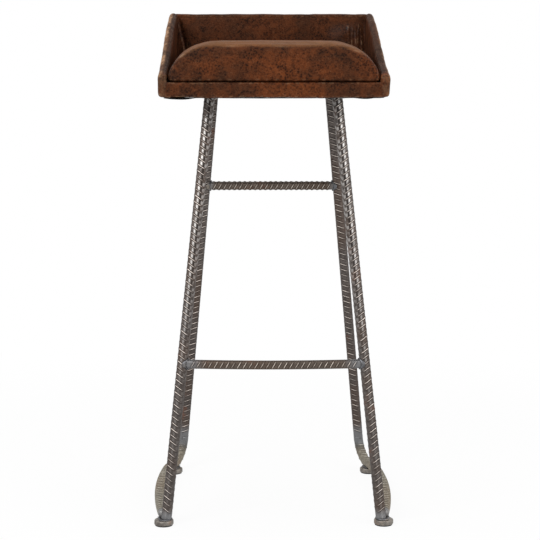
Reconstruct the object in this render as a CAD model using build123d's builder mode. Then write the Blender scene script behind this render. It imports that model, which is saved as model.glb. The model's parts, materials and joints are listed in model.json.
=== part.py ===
from build123d import *
import os
from math import atan, atan2, cos, degrees, radians, sin, tan

os.makedirs("parts", exist_ok=True)

# Sizes in millimetres. The front of the stool faces -Y, and the floor is Z = 0.

# Ribbed steel bar: a round bar with two rolled flats, and a row of slanted ribs on each flat
bar_diameter = 17.2
cross_bar_diameter = 14.8
flat_depth = 1.5
rib_pitch = 10.2
cross_rib_pitch = 9.5
runner_rib_pitch = 13.0
rib_length = 10.5
rib_ridge = 6.3
rib_width = 2.6
rib_height = 1.0
rib_root = 0.4
rib_slant = 30.0
plain_end = 12.0
front_row_turn = 20.0
rear_row_turn = -12.0

# Stance of the frame, measured from the centre of the seat
leg_top_spread = 209.0
leg_top_depth = 220.0
front_foot_spread = 357.0
front_foot_reach = 170.0
heel_spread = 342.6
heel_reach = 211.7
heel_bend_radius = 38.0
heel_stub = 5.0
heel_turn_out = 18.0
shoulder_radius = 250.0
shoulder_turn = 13.0
runner_side_step = 5.0
runner_end_gap = 3.0
footrest_height = 268.0
footrest_bow = 12.0
stretcher_height = 546.5
bar_end_gap = 1.5
weld_size = 2.4

# Feet
disc_diameter = 32.2
disc_thickness = 8.0
disc_edge_radius = 2.0
front_disc_out = 4.2
front_disc_back = 1.5
pad_diameter = 29.0
pad_thickness = 2.0

# Upholstered box of the seat
seat_width = 370.0
seat_depth = 360.0
underside_height = 707.0
border_height = 22.0
back_rise = 151.0
wing_front_rise = 34.0
wing_swing = 5.0
cover_thickness = 2.0
cover_edge_radius = 3.5
core_thickness = 9.0
back_foam_thickness = 6.0
wing_front_corner = 6.0
wing_back_corner = 10.0
wing_foot_corner = 4.0
back_top_radius = 7.0
board_thickness = 11.0
batten_depth = 25.0
dust_cover_thickness = 0.8
dust_cover_margin = 8.0
dust_cover_leg_gap = 1.0

# Seat cushion, with its heights above the board
cushion_gap = 0.5
cushion_front_rise = 57.0
cushion_crown_rise = 74.0
cushion_back_rise = 62.0
cushion_crown_setback = 165.0
cushion_flat_width = 170.0
cushion_side_height = 6.0
cushion_shoulder_radius = 40.0
cushion_draw_in = 2.0
cushion_crown_power = 2.5

# Fastening of the frame to the seat
mount_bar_width = 30.0
mount_bar_thickness = 5.0
mount_bar_overhang = 22.0
mount_bar_corner = 6.0
bolt_diameter = 6.0
bolt_head_diameter = 10.5
bolt_head_height = 3.3
bolt_length = 16.0
bolt_spacing = 120.0
bolt_clearance = 0.3
thread_clearance = 0.05
washer_diameter = 14.0
washer_thickness = 1.2
tee_nut_flange_diameter = 19.0
tee_nut_flange_thickness = 1.5
tee_nut_barrel_diameter = 8.0
tee_nut_barrel_length = 8.0
tee_nut_clearance = 0.1

# Wood screws
screw_diameter = 4.0
screw_head_diameter = 8.0
screw_head_height = 2.4
screw_length = 30.0
batten_screw_length = 17.0
screw_clearance = 0.05
side_screw_spacing = 120.0
back_screw_spacing = 110.0
corner_screw_height = 60.0
corner_screw_spacing = 60.0
batten_screw_spacing = 150.0

# Levels and places that follow from those sizes
bar_radius = bar_diameter / 2
cross_radius = cross_bar_diameter / 2
flat_distance = bar_radius - flat_depth
disc_radius = disc_diameter / 2
disc_top = pad_thickness + disc_thickness
runner_height = disc_top + flat_distance
board_top = underside_height + border_height
board_bottom = board_top - board_thickness
mount_bar_bottom = board_bottom - mount_bar_thickness
back_thickness = core_thickness + back_foam_thickness + 2 * cover_thickness
panel_thickness = core_thickness + 2 * cover_thickness
back_top = underside_height + back_rise
wall_x = seat_width / 2 - panel_thickness
core_x = wall_x + cover_thickness
core_outer_x = core_x + core_thickness
bolt_x = leg_top_spread / 2
standing = (Align.CENTER, Align.CENTER, Align.MIN)
hanging = (Align.CENTER, Align.CENTER, Align.MAX)
up = Vector(0, 0, 1)


def turned(plane, axis, angle):
    # The plane after a turn about an axis.
    spin = Axis((0, 0, 0), axis.direction)
    arm = plane.origin - axis.position
    return Plane(axis.position + arm.rotate(spin, angle), plane.x_dir.rotate(spin, angle),
                 plane.z_dir.rotate(spin, angle))


def leg_plane(low, high, row_turn):
    # A plane across a leg at its low end, with its Y axis square to the rolled flats.
    along = (high - low).normalized()
    across = Vector(0, 1, 0).cross(along).rotate(Axis((0, 0, 0), along), row_turn)
    return Plane(low, x_dir=across, z_dir=along)


def flipped(vector):
    # The mirror image of a point or direction on the other side of the stool.
    return Vector(-vector.X, vector.Y, vector.Z)


def both_sides(*planes):
    # The planes of right-hand pieces, and those of their left-hand twins.
    return [*planes, *[Plane(flipped(plane.origin), z_dir=flipped(plane.z_dir)) for plane in planes]]


def point_at_height(plane, height):
    # The point of a leg's centreline at a height above the floor.
    return plane.origin + plane.z_dir * ((height - plane.origin.Z) / plane.z_dir.Z)


# Heel of the rear leg, on the right-hand side: the leg bends forwards into the floor runner
heading = Vector(sin(radians(heel_turn_out)), -cos(radians(heel_turn_out)), 0)
heel_run = Vector((heel_spread - leg_top_spread) / 2, heel_reach - leg_top_depth / 2,
                  runner_height - mount_bar_bottom)
heel_turn = heel_run.get_angle(heading)
heel_tangent = heel_bend_radius * tan(radians(heel_turn / 2))
heel_axis_direction = heel_run.cross(heading).normalized()

# The origin is on the floor, halfway between the foremost and the rearmost point of the stool
front_reach = max(front_foot_reach - front_disc_back + disc_radius, seat_depth / 2)
heel_inward = heel_axis_direction.cross(heading)
heel_centre_reach = heel_reach + heading.Y * heel_tangent + heel_inward.Y * heel_bend_radius
rear_reach = heel_centre_reach + heel_bend_radius + bar_radius
seat_y = (front_reach - rear_reach) / 2
seat_front = seat_y - seat_depth / 2
seat_back = seat_y + seat_depth / 2
board_front = seat_front + cover_thickness
back_core_back = seat_back - cover_thickness
back_core_front = back_core_back - core_thickness
back_cover_front = seat_back - back_thickness

front_leg_top = Vector(leg_top_spread / 2, seat_y - leg_top_depth / 2, mount_bar_bottom)
front_foot = Vector(front_foot_spread / 2, seat_y - front_foot_reach, disc_top)
rear_leg_top = Vector(leg_top_spread / 2, seat_y + leg_top_depth / 2, mount_bar_bottom)
heel_corner = Vector(heel_spread / 2, seat_y + heel_reach, runner_height)
drop = (heel_corner - rear_leg_top).normalized()
heel_end = heel_corner + heading * heel_tangent
leg_joint = heel_corner - drop * (heel_tangent + heel_stub)

front_leg_plane = leg_plane(front_foot, front_leg_top, front_row_turn)
rear_leg_plane = leg_plane(leg_joint, rear_leg_top, rear_row_turn)
front_disc_centre = front_foot + Vector(front_disc_out, front_disc_back, -disc_top)
rear_disc_centre = Vector(heel_end.X, heel_end.Y, 0)


def round_section(plane):
    # The runner's outline on a plane where it is plain.
    with BuildSketch(plane) as section:
        Circle(bar_radius)
    return section.sketch


def bar_section(plane):
    # The runner's outline on a plane where it is ribbed: a circle with two flats.
    with BuildSketch(plane) as section:
        Circle(bar_radius)
        Rectangle(bar_diameter, 2 * flat_distance, mode=Mode.INTERSECT)
    return section.sketch


def bar_flats(plane, radius):
    # The outline of what is rolled away from a round bar to make its two flats.
    with BuildSketch(plane) as flats:
        with GridLocations(0, 2 * radius, 1, 2):
            Rectangle(2 * radius, 2 * flat_depth)
    return flats.sketch


def add_ribs(stations, slant, radius):
    # One slanted rib on each flat at every station along a bar.
    with Locations(*stations):
        with PolarLocations(0, 2):
            with Locations((0, radius - flat_depth - rib_root, 0)):
                Wedge(rib_length, rib_height + rib_root, rib_width, (rib_length - rib_ridge) / 2,
                      rib_width / 2, (rib_length + rib_ridge) / 2, rib_width / 2, rotation=(0, slant, 0),
                      align=(Align.CENTER, Align.MIN, Align.CENTER))


def straight_stations(plane, start, end, pitch):
    # Planes across a straight bar, one for each rib.
    count = max(1, int((end - start) / pitch))
    step = (end - start) / count
    return [plane.offset(start + step * (i + 0.5)) for i in range(count)]


def arc_stations(plane, axis, turn, radius, pitch):
    # Planes across a curved bar, one for each rib.
    count = max(1, round(radians(turn) * radius / pitch))
    return [turned(plane, axis, turn * (i + 0.5) / count) for i in range(count)]


def keep(part, label):
    # Names a finished piece and writes it to its own file.
    part.label = label
    export_step(part, f"parts/{label}.step")


def keep_pair(part, label):
    # Writes the right-hand piece, and its mirror image as the left-hand one.
    keep(part, f"{label}_right")
    with BuildPart() as twin:
        mirror(part, about=Plane.YZ)
    keep(twin.part, f"{label}_left")


# Front leg: one straight ribbed bar from its foot disc to the mounting bar
front_leg_length = (front_leg_top - front_foot).length
with BuildPart() as front_leg:
    extrude(round_section(front_leg_plane.offset(-bar_diameter)), amount=front_leg_length + 2 * bar_diameter)
    extrude(bar_flats(front_leg_plane.offset(plain_end), bar_radius),
            amount=front_leg_length - 2 * plain_end, mode=Mode.SUBTRACT)
    add_ribs(straight_stations(front_leg_plane, plain_end, front_leg_length - plain_end, rib_pitch),
             rib_slant, bar_radius)
    split(bisect_by=Plane.XY.offset(disc_top), keep=Keep.TOP)
    split(bisect_by=Plane.XY.offset(mount_bar_bottom), keep=Keep.BOTTOM)
keep_pair(front_leg.part, "front_leg")

# Rear leg: a straight ribbed bar, welded end to end to the heel of the runner
rear_leg_length = (rear_leg_top - leg_joint).length
with BuildPart() as rear_leg:
    extrude(round_section(rear_leg_plane), amount=rear_leg_length + bar_diameter)
    extrude(bar_flats(rear_leg_plane.offset(plain_end), bar_radius),
            amount=rear_leg_length - 2 * plain_end, mode=Mode.SUBTRACT)
    add_ribs(straight_stations(rear_leg_plane, plain_end, rear_leg_length - plain_end, rib_pitch),
             -rib_slant, bar_radius)
    split(bisect_by=Plane.XY.offset(mount_bar_bottom), keep=Keep.BOTTOM)
keep_pair(rear_leg.part, "rear_leg")

# Floor runner: heel bend, shoulder and bow in one bar, which ends against the back of the front leg
heel_plane = Plane(heel_end, x_dir=heading.cross(up), z_dir=heading)
heel_axis = Axis(heel_end + heel_inward * heel_bend_radius, heel_axis_direction * -1)
heel_plain_turn = degrees(plain_end / heel_bend_radius)
heel_ribbed_turn = heel_turn - heel_plain_turn
heel_plain_plane = turned(heel_plane, heel_axis, heel_ribbed_turn)
heel_start_plane = turned(heel_plane, heel_axis, heel_turn)
shoulder_axis = Axis(heel_end + heading.cross(up) * shoulder_radius, up * -1)
bow_plane = turned(heel_plane, shoulder_axis, shoulder_turn)
runner_end = point_at_height(front_leg_plane, runner_height) + Vector(runner_side_step, runner_end_gap, 0)
chord = runner_end - bow_plane.origin
bow_inward = bow_plane.z_dir.cross(up)
bow_radius = chord.length ** 2 / (2 * chord.dot(bow_inward))
bow_turn = degrees(2 * atan2(chord.dot(bow_inward), chord.dot(bow_plane.z_dir)))
bow_axis = Axis(bow_plane.origin + bow_inward * bow_radius, up * -1)
with BuildPart() as runner:
    extrude(round_section(heel_start_plane), amount=-heel_stub)
    revolve(round_section(heel_plain_plane), axis=heel_axis, revolution_arc=heel_plain_turn)
    for plane, axis, turn, radius in ((heel_plane, heel_axis, heel_ribbed_turn, heel_bend_radius),
                                      (heel_plane, shoulder_axis, shoulder_turn, shoulder_radius),
                                      (bow_plane, bow_axis, bow_turn, bow_radius)):
        revolve(bar_section(plane), axis=axis, revolution_arc=turn)
        add_ribs(arc_stations(plane, axis, turn, radius, runner_rib_pitch), rib_slant / 2, bar_radius)
    with Locations(front_leg_plane):
        Cylinder(bar_radius, 2 * front_leg_length, mode=Mode.SUBTRACT)
    with Locations(front_disc_centre, rear_disc_centre):
        Cylinder(disc_radius, disc_top, align=standing, mode=Mode.SUBTRACT)
keep_pair(runner.part, "runner")

# Footrest: a bar between the front legs, bowed forwards
footrest_leg_point = point_at_height(front_leg_plane, footrest_height)
footrest_span = footrest_leg_point.X - bar_end_gap
footrest_radius = (footrest_span ** 2 + footrest_bow ** 2) / (2 * footrest_bow)
footrest_half_turn = degrees(2 * atan(footrest_bow / footrest_span))
footrest_centre = Vector(0, footrest_leg_point.Y - footrest_bow + footrest_radius, footrest_height)
footrest_axis = Axis(footrest_centre, up)
footrest_middle = Plane(footrest_centre - Vector(0, footrest_radius, 0), x_dir=up * -1, z_dir=(1, 0, 0))
footrest_start = turned(footrest_middle, footrest_axis, -footrest_half_turn)
footrest_plain_turn = degrees((plain_end + bar_radius) / footrest_radius)
footrest_ribbed_turn = 2 * (footrest_half_turn - footrest_plain_turn)
footrest_ribbed_start = turned(footrest_start, footrest_axis, footrest_plain_turn)
with BuildPart() as footrest:
    with BuildSketch(footrest_start):
        Circle(cross_radius)
    revolve(axis=footrest_axis, revolution_arc=2 * footrest_half_turn)
    revolve(bar_flats(footrest_ribbed_start, cross_radius), axis=footrest_axis,
            revolution_arc=footrest_ribbed_turn, mode=Mode.SUBTRACT)
    add_ribs(arc_stations(footrest_ribbed_start, footrest_axis, footrest_ribbed_turn, footrest_radius,
                          cross_rib_pitch), -rib_slant, cross_radius)
    with Locations(*both_sides(front_leg_plane)):
        Cylinder(bar_radius, 2 * front_leg_length, mode=Mode.SUBTRACT)
keep(footrest.part, "footrest_bar")

# Rear stretcher: a straight bar between the rear legs
stretcher_leg_point = point_at_height(rear_leg_plane, stretcher_height)
stretcher_span = stretcher_leg_point.X - bar_end_gap
stretcher_end = Vector(stretcher_span, stretcher_leg_point.Y, stretcher_height)
stretcher_start = Plane(flipped(stretcher_end), x_dir=up * -1, z_dir=(1, 0, 0))
stretcher_plain = plain_end + bar_radius
with BuildPart() as stretcher:
    with BuildSketch(stretcher_start):
        Circle(cross_radius)
    extrude(amount=2 * stretcher_span)
    extrude(bar_flats(stretcher_start.offset(stretcher_plain), cross_radius),
            amount=2 * (stretcher_span - stretcher_plain), mode=Mode.SUBTRACT)
    add_ribs(straight_stations(stretcher_start, stretcher_plain, 2 * stretcher_span - stretcher_plain,
                               cross_rib_pitch), -rib_slant, cross_radius)
    with Locations(*both_sides(rear_leg_plane)):
        Cylinder(bar_radius, 2 * rear_leg_length, mode=Mode.SUBTRACT)
keep(stretcher.part, "rear_stretcher")

# Foot discs and the thin pads under them
for end, centre in (("front", front_disc_centre), ("rear", rear_disc_centre)):
    with BuildPart(Plane(centre + up * pad_thickness)) as foot_disc:
        Cylinder(disc_radius, disc_thickness, align=standing)
        fillet(foot_disc.edges().group_by(Axis.Z)[-1], min(disc_edge_radius, disc_thickness / 2))
    keep_pair(foot_disc.part, f"{end}_foot_disc")
    with BuildPart(Plane(centre)) as foot_pad:
        Cylinder(pad_diameter / 2, pad_thickness, align=standing)
    keep_pair(foot_pad.part, f"{end}_foot_pad")


def saddle_weld(bar, bar_plane, leg, leg_length):
    # The collars of weld where the two ends of a bar meet a pair of legs.
    with BuildPart() as collar:
        with Locations(bar_plane):
            Cylinder(cross_radius + weld_size, bar_diameter + weld_size, align=standing)
        with Locations(leg):
            Cylinder(bar_radius + weld_size, 2 * leg_length, mode=Mode.INTERSECT)
            Cylinder(bar_radius, 2 * leg_length, mode=Mode.SUBTRACT)
        add(bar, mode=Mode.SUBTRACT)
        mirror(about=Plane.YZ)
    return collar.part


# The runner before its flats and ribs are rolled, which the welds lie against
with BuildPart() as plain_runner:
    for plane, axis, turn in ((heel_plane, heel_axis, heel_turn), (heel_plane, shoulder_axis, shoulder_turn),
                              (bow_plane, bow_axis, bow_turn)):
        revolve(round_section(plane), axis=axis, revolution_arc=turn)


def foot_weld(disc_centre, *bar_planes):
    # The weld round the bars that stand or lie on a pair of foot discs.
    with BuildPart() as bead:
        with Locations(*bar_planes):
            Cylinder(bar_radius + weld_size, 4 * bar_diameter)
        with Locations(disc_centre + up * disc_top):
            Cylinder(disc_radius - disc_edge_radius, weld_size, align=standing, mode=Mode.INTERSECT)
        with Locations(front_leg_plane):
            Cylinder(bar_radius, 2 * front_leg_length, mode=Mode.SUBTRACT)
        add(plain_runner.part, mode=Mode.SUBTRACT)
        mirror(about=Plane.YZ)
    return bead.part


# Welds of the frame
footrest_end = turned(footrest_middle, footrest_axis, footrest_half_turn)
footrest_inward = Plane(footrest_end.origin, z_dir=footrest_end.z_dir * -1)
stretcher_inward = Plane(stretcher_end, z_dir=(-1, 0, 0))
keep(saddle_weld(footrest.part, footrest_inward, front_leg_plane, front_leg_length), "footrest_welds")
keep(saddle_weld(stretcher.part, stretcher_inward, rear_leg_plane, rear_leg_length), "stretcher_welds")
runner_end_plane = turned(bow_plane, bow_axis, bow_turn)
keep(foot_weld(front_disc_centre, front_leg_plane, runner_end_plane), "front_foot_welds")
keep(foot_weld(rear_disc_centre, heel_plane), "rear_foot_welds")
leg_top_planes = [Plane(front_leg_top, z_dir=front_leg_plane.z_dir), Plane(rear_leg_top, z_dir=drop * -1)]
with BuildPart() as leg_top_welds:
    with Locations(*leg_top_planes):
        Cylinder(bar_radius + weld_size, 4 * bar_diameter)
    with Locations((0, seat_y, mount_bar_bottom)):
        Box(seat_width, seat_depth, weld_size, align=hanging, mode=Mode.INTERSECT)
    with Locations(*leg_top_planes):
        Cylinder(bar_radius, 4 * bar_diameter, mode=Mode.SUBTRACT)
    mirror(about=Plane.YZ)
keep(leg_top_welds.part, "leg_top_welds")

# Mounting bar: a flat bar across the tops of a front and a rear leg, bolted under the seat board
bolt_points = [Vector(bolt_x, seat_y + end * bolt_spacing / 2, 0) for end in (-1, 1)]
all_bolt_points = bolt_points + [flipped(point) for point in bolt_points]
with BuildPart() as mount_bar:
    with BuildSketch(Plane.XY.offset(mount_bar_bottom)):
        with Locations((bolt_x, seat_y)):
            RectangleRounded(mount_bar_width, leg_top_depth + 2 * mount_bar_overhang, mount_bar_corner)
        with Locations(*bolt_points):
            Circle(bolt_diameter / 2 + bolt_clearance, mode=Mode.SUBTRACT)
    extrude(amount=mount_bar_thickness)
keep_pair(mount_bar.part, "mounting_bar")

# Bolts, washers and the tee nuts that they screw into
washer_bottom = mount_bar_bottom - washer_thickness
with BuildPart() as washers:
    with Locations(*[point + up * washer_bottom for point in all_bolt_points]):
        Cylinder(washer_diameter / 2, washer_thickness, align=standing)
        Cylinder(bolt_diameter / 2 + bolt_clearance, washer_thickness, align=standing, mode=Mode.SUBTRACT)
keep(washers.part, "mounting_washers")

with BuildPart() as bolts:
    with Locations(*[point + up * washer_bottom for point in all_bolt_points]):
        Cone(bolt_diameter / 2, bolt_head_diameter / 2, bolt_head_height, align=hanging)
        Cylinder(bolt_diameter / 2, bolt_length, align=standing)
keep(bolts.part, "mounting_bolts")

tee_nut_length = tee_nut_flange_thickness + tee_nut_barrel_length
with BuildPart() as tee_nuts:
    with Locations(*[point + up * board_top for point in all_bolt_points]):
        Cylinder(tee_nut_flange_diameter / 2, tee_nut_flange_thickness, align=hanging)
        Cylinder(tee_nut_barrel_diameter / 2, tee_nut_length, align=hanging)
        Cylinder(bolt_diameter / 2 + thread_clearance, tee_nut_length, align=hanging, mode=Mode.SUBTRACT)
keep(tee_nuts.part, "tee_nuts")

# Places of the wood screws, each with Z along the way the screw is driven
board_middle = (board_top + board_bottom) / 2
batten_rows = (board_front + batten_depth / 2, back_core_front - batten_depth / 2)
side_screws = [Plane((core_outer_x, seat_y + i * side_screw_spacing, board_middle), z_dir=(-1, 0, 0))
               for i in (-1, 0, 1)]
corner_screws = [Plane((core_outer_x, (back_core_front + back_core_back) / 2, board_top + corner_screw_height
                        + i * corner_screw_spacing / 2), z_dir=(-1, 0, 0)) for i in (-1, 1)]
back_screws = [Plane((i * back_screw_spacing, back_core_back, board_middle), z_dir=(0, -1, 0))
               for i in (-1, 0, 1)]
batten_screws = [Plane((i * batten_screw_spacing / 2, row, underside_height), z_dir=up) for row in batten_rows
                 for i in (-1, 1)]


def add_screws(planes, length, clearance=0, mode=Mode.ADD):
    # Countersunk screws, or with a clearance the holes that they go into.
    shank = screw_diameter / 2 + clearance
    with Locations(*planes):
        Cone(screw_head_diameter / 2 + clearance, shank, screw_head_height, align=standing, mode=mode)
        Cylinder(shank, length + clearance, align=standing, mode=mode)


def screw_holes(planes, length):
    # Holes for screws, in the part that is being built.
    add_screws(planes, length, screw_clearance, Mode.SUBTRACT)


with BuildPart() as panel_screws:
    add_screws(both_sides(*side_screws, *corner_screws) + back_screws, screw_length)
keep(panel_screws.part, "panel_screws")

with BuildPart() as batten_screw_group:
    add_screws(batten_screws, batten_screw_length)
keep(batten_screw_group.part, "batten_screws")


def block(low, high, mode=Mode.ADD):
    # A box between two corners, in the part that is being built.
    size = high - low
    with Locations((low + high) * 0.5):
        Box(size.X, size.Y, size.Z, mode=mode)


# Seat board, with counterbored holes for the tee nuts
with BuildPart() as seat_board:
    block(Vector(-core_x, board_front, board_bottom), Vector(core_x, back_core_front, board_top))
    with Locations(*[point + up * board_top for point in all_bolt_points]):
        CounterBoreHole(tee_nut_barrel_diameter / 2 + tee_nut_clearance,
                        tee_nut_flange_diameter / 2 + tee_nut_clearance, tee_nut_flange_thickness)
    screw_holes(both_sides(*side_screws) + back_screws, screw_length)
    screw_holes(batten_screws, batten_screw_length)
keep(seat_board.part, "seat_board")

# Battens under the front and rear edges of the board
for name, row in zip(("front_batten", "rear_batten"), batten_rows):
    with BuildPart() as batten:
        block(Vector(-core_x, row - batten_depth / 2, underside_height),
              Vector(core_x, row + batten_depth / 2, board_bottom))
        screw_holes(batten_screws, batten_screw_length)
    keep(batten.part, name)


def wing_outline(x, inset):
    # The side panel's outline: level at the back, then a slow S down to the front.
    front_top = Vector(seat_front, underside_height + wing_front_rise)
    shelf = Vector(back_cover_front, back_top)
    steepest = (shelf - front_top).rotate(Axis.Z, wing_swing)
    middle = (front_top + shelf) * 0.5
    with BuildSketch(Plane.YZ.offset(x)) as outline:
        with BuildLine():
            Polyline(front_top, (seat_front, underside_height), (seat_back, underside_height),
                     (seat_back, back_top), shelf)
            TangentArc(middle, shelf, tangent=steepest)
            TangentArc(middle, front_top, tangent=steepest * -1)
        make_face()
        for corner, radius in ((front_top, wing_front_corner), ((seat_back, back_top), wing_back_corner),
                               ((seat_front, underside_height), wing_foot_corner),
                               ((seat_back, underside_height), wing_foot_corner)):
            fillet(outline.vertices().sort_by_distance(corner)[0], radius)
        if inset:
            offset(amount=-inset, kind=Kind.INTERSECTION, mode=Mode.REPLACE)
    return outline.sketch


# Side panel: a plywood core in a cover that is open where the board meets the core
with BuildPart() as side_core:
    extrude(wing_outline(core_x, cover_thickness), amount=core_thickness)
    screw_holes(side_screws + corner_screws, screw_length)
keep_pair(side_core.part, "side_core")

with BuildPart() as side_cover:
    extrude(wing_outline(wall_x, 0), amount=panel_thickness)
    rims = side_cover.faces().filter_by(Axis.X).edges()
    upper_rims = rims.filter_by(lambda edge: edge.center().Z > underside_height + wing_foot_corner)
    fillet(upper_rims, cover_edge_radius)
    extrude(wing_outline(core_x, cover_thickness), amount=core_thickness, mode=Mode.SUBTRACT)
    block(Vector(wall_x, board_front, underside_height), Vector(core_x, back_core_front, board_top),
          Mode.SUBTRACT)
    screw_holes(corner_screws, screw_length)
keep_pair(side_cover.part, "side_cover")

# Back panel: a plywood core with a foam face, in its own cover
with BuildPart() as back_fill:
    hem = Vector(cover_thickness, cover_thickness, cover_thickness)
    block(Vector(-wall_x, back_cover_front, underside_height) + hem,
          Vector(wall_x, seat_back, back_top) - hem)
    fillet(back_fill.faces().sort_by(Axis.Z)[-1].edges().filter_by(Axis.X), back_top_radius - cover_thickness)

with BuildPart() as back_core:
    add(back_fill.part)
    split(bisect_by=Plane.XZ.offset(-back_core_front), keep=Keep.BOTTOM)
    screw_holes(both_sides(*corner_screws) + back_screws, screw_length)
keep(back_core.part, "back_core")

with BuildPart() as back_foam:
    add(back_fill.part)
    split(bisect_by=Plane.XZ.offset(-back_core_front), keep=Keep.TOP)
    split(bisect_by=Plane.XY.offset(board_top), keep=Keep.TOP)
keep(back_foam.part, "back_foam")

with BuildPart() as back_cover:
    block(Vector(-wall_x, back_cover_front, underside_height), Vector(wall_x, seat_back, back_top))
    fillet(back_cover.faces().sort_by(Axis.Z)[-1].edges().filter_by(Axis.X), back_top_radius)
    add(back_fill.part, mode=Mode.SUBTRACT)
    block(Vector(-wall_x, back_cover_front, underside_height), Vector(wall_x, back_core_front, board_top),
          Mode.SUBTRACT)
    screw_holes(both_sides(*corner_screws), screw_length)
keep(back_cover.part, "back_cover")

# Border: the strip of cover along the front edges of the board and the batten
with BuildPart() as front_border:
    block(Vector(-wall_x, seat_front, underside_height), Vector(wall_x, board_front, board_top))
    fillet(front_border.faces().sort_by(Axis.Y)[0].edges().filter_by(Axis.X), cover_thickness / 2)
keep(front_border.part, "front_border")

# Dust cover: thin cloth under the seat, with holes for the legs
with BuildPart() as dust_cover:
    with BuildSketch(Plane.XY.offset(underside_height)):
        with Locations((0, seat_y)):
            Rectangle(seat_width - 2 * dust_cover_margin, seat_depth - 2 * dust_cover_margin)
    extrude(amount=-dust_cover_thickness)
    with Locations(*both_sides(*leg_top_planes)):
        Cylinder(bar_radius + dust_cover_leg_gap, 4 * bar_diameter, mode=Mode.SUBTRACT)
keep(dust_cover.part, "dust_cover")


def dome(y, half_width, rise, shoulder):
    # One cross-section of the cushion: drawn-in sides, round shoulders and a flat middle.
    flat_x = cushion_flat_width / 2
    shoulder_rise = cushion_side_height + shoulder
    lean = 2 * atan((rise - shoulder_rise) / (half_width - flat_x - shoulder))
    side = (half_width, board_top + cushion_side_height)
    joint = (half_width - shoulder + shoulder * sin(lean), side[1] + shoulder * cos(lean))
    with BuildSketch(Plane.XZ.offset(-y)) as section:
        with BuildLine():
            Polyline((0, board_top), (half_width - cushion_draw_in, board_top), side)
            TangentArc(side, joint, tangent=(0, 1))
            TangentArc((flat_x, board_top + rise), joint, tangent=(1, 0))
            Line((flat_x, board_top + rise), (0, board_top + rise))
            mirror(about=Plane.YZ)
        make_face()
    return section.sketch


def cushion_form(inset):
    # Cross-sections of the whole cushion, or with an inset those of the space inside its cover.
    front = seat_front + inset
    crown = seat_front + cushion_crown_setback
    back = back_cover_front - cushion_gap - inset
    rises = [(front + (crown - front) * share, cushion_crown_rise - (cushion_crown_rise - cushion_front_rise)
              * (1 - share) ** cushion_crown_power) for share in (0, 0.06, 0.3, 1)]
    rises += [(crown + (back - crown) * share, cushion_crown_rise - (cushion_crown_rise - cushion_back_rise)
               * share ** cushion_crown_power) for share in (0.6, 1)]
    half_width = wall_x - cushion_gap - inset
    return [dome(y, half_width, rise - inset, cushion_shoulder_radius - inset) for y, rise in rises]


# Cushion: foam in a sewn cover that is open underneath
with BuildPart() as cushion_foam:
    loft(cushion_form(cover_thickness))
keep(cushion_foam.part, "cushion_foam")

with BuildPart() as cushion_cover:
    loft(cushion_form(0))
    loft(cushion_form(cover_thickness), mode=Mode.SUBTRACT)
keep(cushion_cover.part, "cushion_cover")
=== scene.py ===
import json
import math

import bmesh
import bpy
import numpy as np
from mathutils import Matrix, Vector, noise


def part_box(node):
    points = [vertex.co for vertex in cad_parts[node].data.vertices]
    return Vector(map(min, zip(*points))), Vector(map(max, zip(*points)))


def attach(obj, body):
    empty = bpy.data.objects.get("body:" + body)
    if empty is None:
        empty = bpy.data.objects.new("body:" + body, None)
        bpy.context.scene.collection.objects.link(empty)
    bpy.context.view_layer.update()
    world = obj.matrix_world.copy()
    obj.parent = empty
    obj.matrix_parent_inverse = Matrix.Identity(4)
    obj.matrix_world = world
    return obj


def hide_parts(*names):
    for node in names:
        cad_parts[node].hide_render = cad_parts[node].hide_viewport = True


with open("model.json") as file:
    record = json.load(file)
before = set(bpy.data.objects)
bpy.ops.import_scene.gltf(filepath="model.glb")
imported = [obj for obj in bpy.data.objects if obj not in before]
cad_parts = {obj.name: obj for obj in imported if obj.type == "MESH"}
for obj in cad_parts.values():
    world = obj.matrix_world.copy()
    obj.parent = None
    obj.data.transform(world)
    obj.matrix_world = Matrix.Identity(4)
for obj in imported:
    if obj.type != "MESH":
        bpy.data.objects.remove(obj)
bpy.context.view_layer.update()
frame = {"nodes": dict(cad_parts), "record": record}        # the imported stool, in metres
scene = bpy.context.scene
cad = frame["nodes"]
sides = {"right": 1, "left": -1}
up = Vector((0, 0, 1))
print("frame loaded:", len(cad), "nodes")


# Node wiring, for shaders and for geometry

class Wire:
    # An output socket. Sums on it add Math nodes to its tree.
    def __init__(self, nodes, socket):
        self.nodes = nodes
        self.socket = socket

    def out(self, name):
        return Wire(self.nodes, self.socket.node.outputs[name])

    def maths(self, operation, *others):
        return self.nodes.add("ShaderNodeMath", {"operation": operation}, [self, *others])

    def flipped(self, operation, other):
        return self.nodes.add("ShaderNodeMath", {"operation": operation}, [other, self])

    def __add__(self, other):
        return self.maths("ADD", other)

    def __mul__(self, other):
        return self.maths("MULTIPLY", other)

    def __sub__(self, other):
        return self.maths("SUBTRACT", other)

    def __truediv__(self, other):
        return self.maths("DIVIDE", other)

    def __pow__(self, other):
        return self.maths("POWER", other)

    def __rsub__(self, other):
        return self.flipped("SUBTRACT", other)

    def __rtruediv__(self, other):
        return self.flipped("DIVIDE", other)

    __radd__ = __add__
    __rmul__ = __mul__

    def least(self, other):
        return self.maths("MINIMUM", other)

    def most(self, other):
        return self.maths("MAXIMUM", other)

    def clamped(self, low=0.0, high=1.0):
        return self.most(low).least(high)

    def ramped(self, low, high):
        # 0 below low and 1 above high, with a soft change between.
        return self.nodes.add("ShaderNodeMapRange", {"interpolation_type": "SMOOTHSTEP"},
                              {"Value": self, "From Min": low, "From Max": high})


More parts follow.
